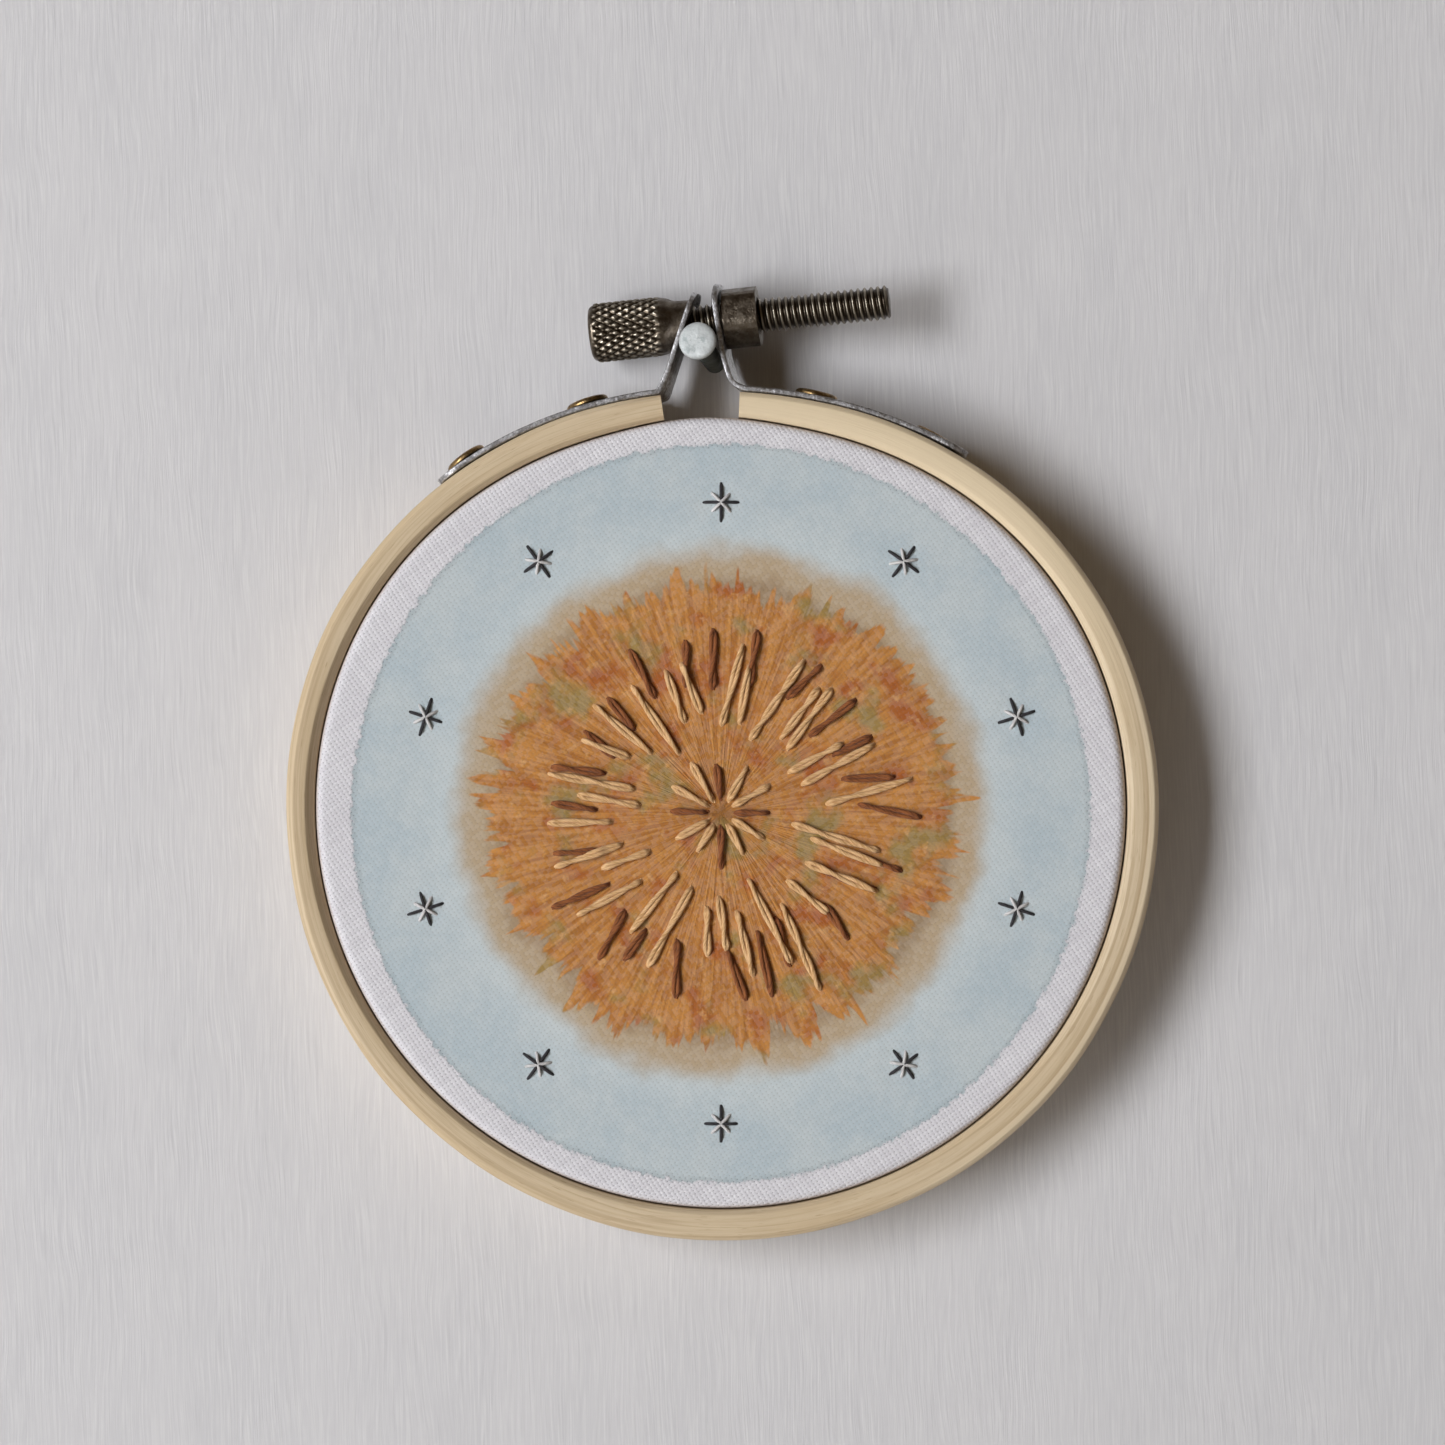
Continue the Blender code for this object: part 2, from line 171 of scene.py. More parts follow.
class Shell:
    """Gathers grids of points into one mesh."""

    def __init__(self):
        self.points = []
        self.faces = []
        self.uvs = []
        self.count = 0

    def grid(self, points, close_rows=False, close_columns=False, cap=False, uv=None):
        """Adds a (rows, columns, 3) grid; cap closes its first and last rows."""
        rows, columns = points.shape[:2]
        faces = quads(rows, columns, close_rows, close_columns)
        flat_uv = np.zeros((rows * columns, 2)) if uv is None else uv.reshape(-1, 2)
        self.uvs.append(flat_uv[faces].reshape(-1, 2))
        self.faces += (faces + self.count).tolist()
        if cap:
            first = np.arange(columns)[::-1]
            last = np.arange(columns) + (rows - 1) * columns
            for ring in (first, last):
                self.faces.append((ring + self.count).tolist())
                self.uvs.append(flat_uv[ring])
        self.points.append(points.reshape(-1, 3))
        self.count += rows * columns

    def build(self, name, finish, body, slot, replaces=(), angle=30, weld=0.0):
        mesh = bpy.data.meshes.new(name)
        mesh.from_pydata(np.concatenate(self.points).tolist(), [], self.faces)
        layer = mesh.uv_layers.new(name="Along")
        layer.data.foreach_set("uv", np.concatenate(self.uvs).astype(np.float32).ravel())
        bm = bmesh.new()
        bm.from_mesh(mesh)
        if weld:
            bmesh.ops.remove_doubles(bm, verts=bm.verts, dist=weld)
        bmesh.ops.recalc_face_normals(bm, faces=bm.faces)
        bm.to_mesh(mesh)
        bm.free()
        mesh.materials.append(finish)
        mesh.shade_smooth()
        mesh.set_sharp_from_angle(angle=math.radians(angle))
        made = bpy.data.objects.new(name, mesh)
        bpy.context.scene.collection.objects.link(made)
        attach(made, body)
        if replaces:
            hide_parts(*replaces)
        return made


def turned(profile, steps, place):
    """Grid of a profile of (radius, along) turned about the X axis of place."""
    angle = np.linspace(0, TURN, steps, endpoint=False)
    radius = np.array([p[0] for p in profile])[:, None]
    along = np.array([p[1] for p in profile])[:, None] + 0 * angle
    local = np.stack([along, radius * np.cos(angle), radius * np.sin(angle)], axis=-1)
    return move(local, place)


def move(points, matrix):
    turn = np.array(matrix.to_3x3())
    return points @ turn.T + np.array(matrix.translation)


def cut_away(target, cutters):
    """Cuts round holes of (matrix, radius, length) out of a mesh piece."""
    for matrix, radius, length in cutters:
        bm = bmesh.new()
        bmesh.ops.create_cone(
            bm, cap_ends=True, segments=40, radius1=radius * MM, radius2=radius * MM, depth=length * MM
        )
        mesh = bpy.data.meshes.new("cutter")
        bm.to_mesh(mesh)
        bm.free()
        cutter = bpy.data.objects.new("cutter", mesh)
        cutter.matrix_world = Matrix.Translation((matrix.translation + HOOP) * MM) @ matrix.to_3x3().to_4x4()
        bpy.context.scene.collection.objects.link(cutter)
        boolean = target.modifiers.new("Hole", "BOOLEAN")
        boolean.operation = "DIFFERENCE"
        boolean.solver = "EXACT"
        boolean.object = cutter
        bpy.context.view_layer.update()
        graph = bpy.context.evaluated_depsgraph_get()
        cut_mesh = bpy.data.meshes.new_from_object(target.evaluated_get(graph))
        target.modifiers.clear()
        target.data = cut_mesh
        bpy.data.objects.remove(cutter, do_unlink=True)
    target.data.shade_smooth()
    target.data.set_sharp_from_angle(angle=math.radians(30))


# Materials

class Look:
    """One material's node tree, with short calls for its nodes."""

    def __init__(self, name, roughness=0.5, metallic=0.0):
        self.material = bpy.data.materials.new(name)
        self.material.use_nodes = True
        self.tree = self.material.node_tree
        self.shader = self.tree.nodes["Principled BSDF"]
        self.shader.inputs["Roughness"].default_value = roughness
        self.shader.inputs["Metallic"].default_value = metallic

    def put(self, socket, value):
        if isinstance(value, bpy.types.NodeSocket):
            self.tree.links.new(value, socket)
        elif value is not None:
            socket.default_value = value

    def set(self, **values):
        for name, value in values.items():
            self.put(self.shader.inputs[name.replace("_", " ")], value)

    def math(self, operation, a, b=None):
        node = self.tree.nodes.new("ShaderNodeMath")
        node.operation = operation
        for socket, value in zip(node.inputs, (a, b)):
            self.put(socket, value)
        return node.outputs[0]

    def times(self, a, b):
        return self.math("MULTIPLY", a, b)

    def plus(self, a, b):
        return self.math("ADD", a, b)

    def minus(self, a, b):
        return self.math("SUBTRACT", a, b)

    def away_from(self, value, middle):
        """Distance of a value from middle, on either side."""
        return self.math("ABSOLUTE", self.minus(value, middle))

    def stretched(self, *pairs, seed=0.0):
        """Vector of up to two values, each times its own scale, and a seed."""
        scaled = [self.times(value, by) for value, by in pairs]
        return self.vector(*scaled, seed)

    def fit(self, value, low, high, to_low=0.0, to_high=1.0, soft=True):
        node = self.tree.nodes.new("ShaderNodeMapRange")
        node.interpolation_type = "SMOOTHSTEP" if soft else "LINEAR"
        for socket, given in zip(node.inputs, (value, low, high, to_low, to_high)):
            self.put(socket, given)
        return node.outputs[0]

    def mix(self, factor, a, b):
        node = self.tree.nodes.new("ShaderNodeMix")
        node.data_type = "RGBA"
        self.put(node.inputs[0], factor)
        for socket, value in ((node.inputs[6], a), (node.inputs[7], b)):
            self.put(socket, value if isinstance(value, bpy.types.NodeSocket) else (*value, 1.0))
        return node.outputs[2]

    def vector(self, x=0.0, y=0.0, z=0.0):
        node = self.tree.nodes.new("ShaderNodeCombineXYZ")
        for socket, value in zip(node.inputs, (x, y, z)):
            self.put(socket, value)
        return node.outputs[0]

    def parts(self, vector):
        node = self.tree.nodes.new("ShaderNodeSeparateXYZ")
        self.put(node.inputs[0], vector)
        return node.outputs

    def noise(self, vector, scale=1.0, detail=2.0, rough=0.5):
        node = self.tree.nodes.new("ShaderNodeTexNoise")
        self.put(node.inputs["Vector"], vector)
        self.put(node.inputs["Scale"], scale)
        self.put(node.inputs["Detail"], detail)
        self.put(node.inputs["Roughness"], rough)
        return node.outputs[0]

    def random(self, vector):
        node = self.tree.nodes.new("ShaderNodeTexWhiteNoise")
        self.put(node.inputs[0], vector)
        return node.outputs[0]

    def place(self):
        """Place on the object, in hoop millimetres."""
        node = self.tree.nodes.new("ShaderNodeTexCoord")
        x, y, z = self.parts(node.outputs["Object"])
        scaled = [self.times(axis, 1 / MM) for axis in (x, y, z)]
        return (
            self.minus(scaled[0], HOOP.x),
            scaled[1],
            self.minus(scaled[2], HOOP.z),
        )

    def side(self, axis):
        """How far the surface faces along an axis, from -1 to 1."""
        node = self.tree.nodes.new("ShaderNodeNewGeometry")
        return self.parts(node.outputs["True Normal"])[axis]

    def along(self):
        node = self.tree.nodes.new("ShaderNodeUVMap")
        node.uv_map = "Along"
        return self.parts(node.outputs[0])[:2]

    def bump(self, height, depth, strength=1.0):
        """Gives the shader a relief of the height, its depth in millimetres."""
        node = self.tree.nodes.new("ShaderNodeBump")
        self.put(node.inputs["Height"], height)
        self.put(node.inputs["Distance"], depth * MM)
        self.put(node.inputs["Strength"], strength)
        self.put(self.shader.inputs["Normal"], node.outputs[0])


def wood_look(name, worn_and_painted_light):
    """Pale bent wood: fine long grain, faint broad bands and short dark pores along the hoop."""
    look = Look(name, roughness=0.52)
    along, across = look.along()
    fine = look.noise(look.stretched((along, 0.16), (across, 3.4)), 1, 3, 0.6)
    broad = look.noise(look.stretched((along, 0.03), (across, 0.55)), 1, 2)
    pores = look.noise(look.stretched((along, 0.55), (across, 7.0), seed=9.0), 1, 1)
    colour = look.mix(look.fit(broad, 0.35, 0.65), (0.592, 0.462, 0.294), (0.655, 0.53, 0.36))
    colour = look.mix(look.fit(fine, 0.42, 0.72, 0.0, 0.42), colour, (0.463, 0.335, 0.19))
    colour = look.mix(look.fit(pores, 0.66, 0.76, 0.0, 0.5), colour, (0.34, 0.22, 0.11))
    swirl = look.noise(look.stretched((along, 0.012), (across, 1.1), seed=4.0), 1, 1)
    lines = look.away_from(swirl, 0.5)
    colour = look.mix(look.fit(lines, 0.0, 0.03, 0.45, 0.0), colour, (0.42, 0.30, 0.17))
    if worn_and_painted_light:
        # Painted light: painted shade darkens the left and painted light pales the upper right. At the lower
        # right, a painted highlight band runs along the outer part beside a thin line of painted shade.
        from_shaded_left = look.away_from(along, 57.0)
        colour = look.mix(look.fit(from_shaded_left, 10.0, 34.0, 0.1, 0.0), colour, (0.36, 0.26, 0.15))
        pale = look.away_from(along, 228.0)
        colour = look.mix(look.fit(pale, 10.0, 50.0, 0.8, 0.0), colour, (0.79, 0.655, 0.45))
        span = look.fit(look.away_from(along, 168.0), 20.0, 38.0, 1.0, 0.0)
        layer = look.plus(across, look.fit(broad, 0.3, 0.7, -0.12, 0.12))
        highlight_band = look.times(span, look.fit(layer, 2.0, 2.2, 0.0, 0.65))
        colour = look.mix(highlight_band, colour, (0.74, 0.62, 0.44))
        from_groove_line = look.away_from(layer, 2.04)
        groove_shade_line = look.times(span, look.fit(from_groove_line, 0.02, 0.12, 0.5, 0.0))
        colour = look.mix(groove_shade_line, colour, (0.42, 0.30, 0.17))
    look.set(Base_Color=colour)
    look.set(Roughness=look.fit(fine, 0.3, 0.7, 0.46, 0.62))
    look.shader.inputs["Specular IOR Level"].default_value = 0.35
    grain = look.minus(look.times(fine, -0.6), look.times(pores, 0.3))
    look.bump(grain, 0.05)
    return look.material


def weave(look, x, z):
    """Plain weave: its height from 0 in the holes to about 1.7, and the thread numbers both ways."""
    c, s = math.cos(WEAVE_TURN), math.sin(WEAVE_TURN)
    wander = look.noise(look.vector(x, z, 3.0), 0.09, 1)
    u = look.plus(look.times(x, c / WARP), look.times(z, s / WARP))
    u = look.plus(u, look.times(wander, 1.2))
    v = look.plus(look.times(x, -s / WEFT), look.times(z, c / WEFT))
    v = look.minus(v, look.times(wander, 1.0))
    iu, iv = look.math("FLOOR", u), look.math("FLOOR", v)
    heights = []
    for across, along, index, sign in ((u, v, iu, 1.0), (v, u, iv, -1.0)):
        round_part = look.math("SINE", look.times(look.math("FRACT", across), math.pi))
        phase = look.times(look.plus(look.minus(along, 0.5), index), math.pi)
        wave = look.times(look.math("COSINE", phase), 0.5 * sign)
        heights.append(look.plus(round_part, wave))
    height = look.math("MAXIMUM", look.math("MAXIMUM", *heights), 0.0)
    return height, iu, iv


def cloth_look():
    """White plain-weave cloth, painted in a round field with a plain sunburst of soft colours."""
    look = Look("painted_cloth", roughness=0.86)
    x, y, z = look.place()
    height, iu, iv = weave(look, x, z)
    squared = look.plus(look.times(x, x), look.times(z, z))
    cell = look.random(look.vector(iu, iv))
    thread_u = look.random(look.vector(iu, 5.0))
    thread_v = look.random(look.vector(7.0, iv))
    holes = look.fit(height, 0.1, 0.72)

    radius = look.math("SQRT", squared)
    safe = look.math("MAXIMUM", radius, 0.01)
    ray_x = look.math("DIVIDE", x, safe)
    ray_z = look.math("DIVIDE", z, safe)

    # Bare cloth
    tone = look.plus(look.times(thread_u, 0.5), look.times(thread_v, 0.5))
    bare = look.mix(tone, (0.66, 0.645, 0.68), (0.745, 0.735, 0.765))
    # Painted shade in the holes of the weave
    bare = look.mix(holes, (0.38, 0.355, 0.38), bare)

    # Painted field: radial brush marks, soft rings and a mottled middle
    def rays(fine, outward, seed):
        spot = look.vector(
            look.times(ray_x, fine),
            look.times(ray_z, fine),
            look.plus(look.times(radius, outward), seed),
        )
        return look.noise(spot, 1, 2, 0.55)

    blades = rays(34.0, 0.22, 0.0)
    tufts = rays(13.0, 0.10, 20.0)
    cloudy = look.noise(look.vector(x, z, 0.0), 0.16, 3, 0.6)
    dabs = look.noise(look.vector(x, z, 8.0), 0.75, 3, 0.65)
    patches = look.noise(look.vector(x, z, 30.0), 0.27, 2, 0.55)

    ground = look.mix(look.fit(cloudy, 0.35, 0.65), (0.455, 0.535, 0.575), (0.52, 0.58, 0.60))
    ground = look.mix(look.fit(radius, 25.0, 30.5, 0.45, 0.0), ground, (0.60, 0.655, 0.66))
    haze_edge = look.plus(radius, look.fit(cloudy, 0.3, 0.7, -0.9, 0.9, False))
    paint = look.mix(look.fit(haze_edge, 23.6, 26.6, 1.0, 0.0), ground, (0.47, 0.36, 0.235))
    paint = look.mix(look.fit(haze_edge, 21.6, 23.2, 0.75, 0.0), paint, (0.33, 0.225, 0.13))

    ochre = look.mix(look.fit(blades, 0.36, 0.62), (0.40, 0.155, 0.034), (0.55, 0.245, 0.062))
    ochre = look.mix(look.fit(patches, 0.52, 0.68, 0.0, 0.75), ochre, (0.36, 0.085, 0.016))
    ochre = look.mix(look.fit(cloudy, 0.52, 0.66, 0.0, 0.7), ochre, (0.27, 0.225, 0.075))
    ochre = look.mix(look.fit(dabs, 0.56, 0.72, 0.0, 0.6), ochre, (0.66, 0.36, 0.12))
    ragged = look.plus(radius, look.fit(tufts, 0.25, 0.75, 1.9, -2.6, False))
    ragged = look.plus(ragged, look.fit(blades, 0.3, 0.7, 0.9, -1.0, False))
    paint = look.mix(look.fit(ragged, 21.3, 22.0, 1.0, 0.0), paint, ochre)
    # Painted shade in the holes of the weave, over the paint
    paint = look.mix(look.fit(holes, 0.0, 1.0, 0.38, 0.0, False), paint, (0.20, 0.17, 0.14))
    paint = look.mix(look.times(look.math("GREATER_THAN", cell, 0.5), 0.05), paint, (0.9, 0.9, 0.9))

    # The field's edge is ragged thread by thread, with a darker dotted rim
    edge = look.plus(radius, look.times(cell, 0.16))
    ragged_edge = look.noise(look.vector(x, z, 50.0), 1.3, 3, 0.65)
    edge = look.plus(edge, look.fit(ragged_edge, 0.3, 0.7, -0.2, 0.2))
    field = look.fit(edge, PAINT_RADIUS, PAINT_RADIUS + 0.2, 1.0, 0.0)
    rim_in = look.fit(edge, PAINT_RADIUS - 0.5, PAINT_RADIUS)
    rim_out = look.fit(edge, PAINT_RADIUS + 0.05, PAINT_RADIUS + 0.45, 1.0, 0.0)
    rim = look.times(rim_in, rim_out)
    # Paint that soaks through shows paler on the back
    soaked = look.fit(look.side(1), 0.2, 0.4, 0.0, 0.45)
    paint = look.mix(soaked, paint, (0.60, 0.585, 0.57))
    colour = look.mix(field, bare, paint)
    dots = look.times(rim, look.fit(holes, 0.0, 1.0, 0.8, 0.2, False))
    colour = look.mix(dots, colour, (0.17, 0.20, 0.22))
    # Painted shade, warmed like light bounced off the wood, where the cloth rolls back into the gap
    rolled = look.fit(y, SHEET_FRONT + 0.15, SHEET_FRONT + 0.65, 0.0, 0.6)
    colour = look.mix(rolled, colour, (0.36, 0.24, 0.14))
    look.set(Base_Color=colour)
    look.set(Roughness=look.fit(field, 0.0, 1.0, 0.92, 0.8, False))
    look.shader.inputs["Specular IOR Level"].default_value = 0.25
    look.shader.inputs["Sheen Weight"].default_value = 0.08

    in_middle = look.fit(radius, 21.0, 22.5, 1.0, 0.0)
    strokes = look.plus(look.times(blades, 0.9), look.times(dabs, 0.8))
    strokes = look.times(strokes, look.times(in_middle, field))
    threads = look.times(height, look.fit(field, 0.0, 1.0, 0.036, 0.014, False))
    relief = look.plus(threads, look.times(strokes, 0.16))
    look.bump(relief, 1.0, 0.9)
    return look.material


def thread_look(name, light, dark):
    """Twisted cotton: fibres that slant along the strand, in light and dark tones that drift slowly."""
    look = Look(name, roughness=0.78)
    along, around = look.along()
    slant = look.plus(look.times(around, 5.0), look.times(along, 2.2))
    fibre = look.noise(look.vector(slant, look.times(along, 0.5)), 1.6, 2, 0.6)
    drift = look.noise(look.vector(along, 3.0, around), 0.35, 1)
    colour = look.mix(look.fit(fibre, 0.32, 0.66), dark, light)
    colour = look.mix(look.fit(drift, 0.35, 0.7, 0.0, 0.25), colour, dark)
    look.set(Base_Color=colour)
    look.shader.inputs["Sheen Weight"].default_value = 0.15
    look.shader.inputs["Specular IOR Level"].default_value = 0.3
    look.bump(fibre, 0.07)
    return look.material


def screw_reach(look, place):
    """Reach along the screw from its middle, and distance from its axis, in millimetres."""
    way = SCREW_FRAME @ Vector((1.0, 0.0, 0.0))
    offset = [look.minus(axis, at) for axis, at in zip(place, SCREW_MIDDLE)]
    parts = [look.times(axis, by) for axis, by in zip(offset, way)]
    s = look.plus(look.plus(parts[0], parts[1]), parts[2])
    squares = []
    for axis, by in zip(offset, way):
        rest = look.minus(axis, look.times(s, by))
        squares.append(look.times(rest, rest))
    return s, look.math("SQRT", look.plus(look.plus(squares[0], squares[1]), squares[2]))


def metal_look(
    name, clean, worn_and_painted_light, stain_and_root_shade, roughness, metallic=1.0, grain=(0.5, 0.5, 0.5), stain_from=0.52,
    crests=None, deep=None, tabs=False,
):
    """Worn metal: fine brushed grain, duller stains and small pits.

    crests gives, for a knurl or thread, its radii at the root and crest and the reach along the screw
    that it covers: painted shade darkens the root and a painted highlight lightens the crest. deep gives
    two depths and, beyond them, a darker colour that is painted shade. tabs paints shade on the faces of
    the two tabs that look at each other.
    """
    look = Look(name, roughness=roughness, metallic=metallic)
    x, y, z = look.place()
    place = look.vector(x, y, z)
    stretched = look.vector(*(look.times(axis, by) for axis, by in zip((x, y, z), grain)))
    brushed = look.noise(stretched, 3.0, 3, 0.6)
    mottle = look.noise(place, 1.1, 3, 0.65)
    pits = look.noise(place, 5.0, 2, 0.6)
    colour = look.mix(look.fit(brushed, 0.35, 0.68), clean, worn_and_painted_light)
    colour = look.mix(look.fit(mottle, stain_from, stain_from + 0.16, 0.0, 0.75), colour, stain_and_root_shade)
    colour = look.mix(look.fit(pits, 0.62, 0.72, 0.0, 0.6), colour, stain_and_root_shade)
    if crests:
        root, crest, first, last = crests
        s, from_axis = screw_reach(look, (x, y, z))
        inside = look.times(look.math("GREATER_THAN", s, first), look.math("LESS_THAN", s, last))
        # Painted shade darkens the root and a painted highlight lightens the crest
        root_shade = look.fit(from_axis, root, crest, 0.8, 0.0)
        colour = look.mix(look.times(inside, root_shade), colour, stain_and_root_shade)
        crest_highlight = look.fit(from_axis, crest - 0.06, crest + 0.02, 0.0, 0.75)
        colour = look.mix(look.times(inside, crest_highlight), colour, (0.42, 0.38, 0.31))
    if deep:
        # Painted shade: the colour beyond the two depths
        colour = look.mix(look.fit(y, deep[0], deep[1]), colour, deep[2])
    if tabs:
        # Painted shade on the faces of the two tabs that look at each other
        way = look.math("SIGN", look.minus(-2.2, x))
        inner = look.fit(look.times(look.side(0), way), 0.45, 0.8, 0.0, 0.85)
        risen = look.fit(z, 41.7, 42.4)
        colour = look.mix(look.times(inner, risen), colour, (0.085, 0.072, 0.06))
    look.set(Base_Color=colour)
    look.set(Roughness=look.fit(mottle, 0.35, 0.7, roughness - 0.07, roughness + 0.15))
    look.bump(look.plus(brushed, pits), 0.03)
    return look.material


# Wood

def chamfer(corner, way_in, way_out, cut_in, cut_out, soft=0.1):
    """Seven points across a corner cut from way_in to way_out, its two edges slightly eased."""
    corner, way_in, way_out = Vector(corner), Vector(way_in), Vector(way_out)
    first = corner + way_in * cut_in
    last = corner + way_out * cut_out
    across = (last - first).normalized()
    points = []
    for edge, before, after in ((first, way_in, across), (last, -across, way_out)):
        a, b = edge + before * soft, edge + after * soft
        for t in (0.0, 0.5, 1.0):
            points.append(a * (1 - t) ** 2 + edge * 2 * t * (1 - t) + b * t * t)
    points.insert(3, (points[2] + points[3]) / 2)
    return [tuple(p) for p in points]


def outer_edges(a):
    """Cuts of the outer ring's front edges: inner one down and across, outer one across and down."""
    left = math.exp(-(((a % TURN) - math.pi) / 0.66) ** 2)
    turn = (a + math.pi) % TURN - math.pi
    right = math.exp(-((turn / 0.8) ** 2))
    return (
        0.46 + 0.44 * left - 0.22 * right,
        0.46 + 0.44 * left + 0.14 * right,
        0.46 + 0.2 * left,
        0.42 + 0.06 * left,
    )


def inner_edges(a):
    """Cuts of the inner ring's front edges, the same at every angle."""
    return 0.5, 0.5, 0.6, 0.6


def ring_piece(name, node, inside, wall, front, edges, finish, start, sweep, steps):
    """A bent wooden ring, swept from start; edges gives the cuts of its front edges."""
    shell = Shell()
    closed = abs(sweep - TURN) < 1e-6
    rows = []
    uvs = []
    for a in start + np.linspace(0, sweep, steps, endpoint=not closed):
        width = wall + (0.03 + 0.127 * math.cos(a) - 0.10 * math.sin(a)) * (0.0 if closed else 1.0)
        down, over, over_out, down_out = edges(a)
        shaved = 0.0 if closed else float(thinned(a))
        section = chamfer((shaved, front), (0, 1), (1, 0), down, over)
        section += chamfer((width, front), (-1, 0), (0, 1), over_out, down_out)
        section += chamfer((width, 0.0), (0, -1), (-1, 0), BACK_EASE, BACK_EASE)
        section += chamfer((shaved, 0.0), (1, 0), (0, -1), BACK_EASE, BACK_EASE)
        radius = inside + float(outline(a))
        ripple = 0.035 * math.sin(7 * a + 1.0) + 0.02 * math.sin(17 * a)
        row = []
        for r, y in section:
            reach = radius + r + ripple * (r > 1)
            row.append((reach * math.cos(a), y, reach * math.sin(a)))
        run = np.cumsum([0.0] + [math.dist(p, q) for p, q in zip(section, section[1:])])
        rows.append(row)
        uvs.append([((a - start) * (inside + GRAIN_LINE), v) for v in run])
    rows, uvs = np.array(rows), np.array(uvs)
    # The last point of each section meets the first again, so that the grain has no seam to bridge
    rows = np.concatenate([rows, rows[:, :1]], axis=1)
    uvs = np.concatenate([uvs, uvs[:, -1:, :] + np.array([0.0, 1.0])], axis=1)
    if closed:
        rows = np.concatenate([rows, rows[:1]], axis=0)
        last = uvs[:1].copy()
        last[..., 0] += TURN * (inside + GRAIN_LINE)
        uvs = np.concatenate([uvs, last], axis=0)
    shell.grid(world(rows), uv=uvs, cap=not closed)
    return shell.build(name, finish, "hoop", "hoop_wood", (node,), angle=25, weld=0.002 * MM)


def eyelet_matrix(degrees, lift=0.0):
    """Local Z runs out of the hoop from the strip's outer face at mid-width."""
    angle = math.radians(degrees)
    radius = STRIP_LINE + STEEL / 2 + float(outline(angle)) + lift
    centre = Vector((radius * math.cos(angle), (STRIP_FRONT + STRIP_BACK) / 2, radius * math.sin(angle)))
    return Matrix.Translation(centre) @ Matrix.Rotation(math.pi / 2 - angle, 4, "Y")


# Cloth and its stitches

def stitch_plan():
    """Straight stitches of a plain sunburst: ends in (x, z), colour and the strands in each."""
    draw = random.Random(23)
    plan = []

    def ray(angle, low, high, lean, colour):
        a = Vector((math.cos(angle), math.sin(angle))) * low
        way = Matrix.Rotation(lean, 2) @ Vector((math.cos(angle), math.sin(angle)))
        plan.append((tuple(a), tuple(a + way * (high - low)), colour, 2))

    for i in range(24):
        angle = TURN * (i + draw.uniform(-0.28, 0.28)) / 24
        low = draw.uniform(11.0, 13.2)
        ray(angle, low, low + draw.uniform(3.5, 6.5), draw.uniform(-0.32, 0.32), "brown")
    for i in range(30):
        angle = TURN * (i + 0.5 + draw.uniform(-0.3, 0.3)) / 30
        low = draw.uniform(6.5, 10.5)
        ray(angle, low, low + draw.uniform(4.5, 9.5), draw.uniform(-0.26, 0.26), "straw")
    for i in range(12):
        angle = TURN * (i + draw.uniform(-0.12, 0.12)) / 12
        ray(angle, 1.3, draw.uniform(4.2, 5.6), draw.uniform(-0.08, 0.08), "straw" if i % 3 else "brown")
    for i in range(10):
        angle = TURN * (i + 0.5) / 10
        centre = Vector((math.cos(angle), math.sin(angle))) * 29.6
        for k in range(4):
            arm = Vector((math.cos(angle + math.pi * k / 4), math.sin(angle + math.pi * k / 4)))
            arm *= (1.75, 1.35)[k % 2] * draw.uniform(0.92, 1.06)
            plan.append((tuple(centre - arm), tuple(centre + arm), "charcoal" if k % 2 == 0 else "white", 1))
    return plan


def lifted(a, b, earlier, step=0.22):
    """Points along a stitch from a to b, and how high it rides over the stitches already laid."""
    count = max(8, int(math.dist(a, b) / step))
    t = np.linspace(0, 1, count + 1)
    line = np.array(a)[None] + t[:, None] * (np.array(b) - np.array(a))[None]
    lift = np.zeros(len(t))
    for p, q, height in earlier:
        p, q = np.array(p), np.array(q)
        way = (q - p) / np.dot(q - p, q - p)
        near = np.clip((line - p) @ way, 0, 1)
        gap = np.linalg.norm(line - (p + near[:, None] * (q - p)), axis=1)
        lift = np.maximum(lift, height * np.exp(-((gap / 0.5) ** 2)))
    return line, lift


def strand(shell, line, height, radius, twist, phase, spread, surface, side):
    """One strand of a stitch: a tube that winds about it and dives into the cloth at its ends."""
    run = np.concatenate([[0.0], np.cumsum(np.linalg.norm(np.diff(line, axis=0), axis=1))])
    from_end = np.minimum(run, run[-1] - run)
    open_out = smooth(from_end / 0.7)
    way = (line[-1] - line[0]) / np.linalg.norm(line[-1] - line[0])
    sideways = np.array([-way[1], way[0]])
    turn = phase + TURN * run / twist
    offset = spread * np.cos(turn) * open_out
    rise = radius * 0.95 + height + 0.45 * spread * (1 + np.sin(turn)) * open_out
    rise = rise - (radius * 2.2 + height) * (1 - smooth(from_end / 0.5))
    centre = np.stack(
        [
            line[:, 0] + sideways[0] * offset,
            surface + side * rise,
            line[:, 1] + sideways[1] * offset,
        ],
        axis=-1,
    )
    tangent = np.gradient(centre, axis=0)
    tangent /= np.linalg.norm(tangent, axis=1)[:, None]
    up = np.array([0.0, 1.0, 0.0])
    across = np.cross(tangent, up)
    across /= np.linalg.norm(across, axis=1)[:, None]
    over = np.cross(across, tangent)
    angle = np.linspace(0, TURN, 9)
    rows = (
        centre[:, None]
        + radius * np.cos(angle)[None, :, None] * across[:, None]
        + radius * 0.86 * np.sin(angle)[None, :, None] * over[:, None]
    )
    uv = np.stack(np.broadcast_arrays(run[:, None], (angle / TURN)[None, :]), axis=-1)
    shell.grid(world(rows), uv=uv, cap=True)


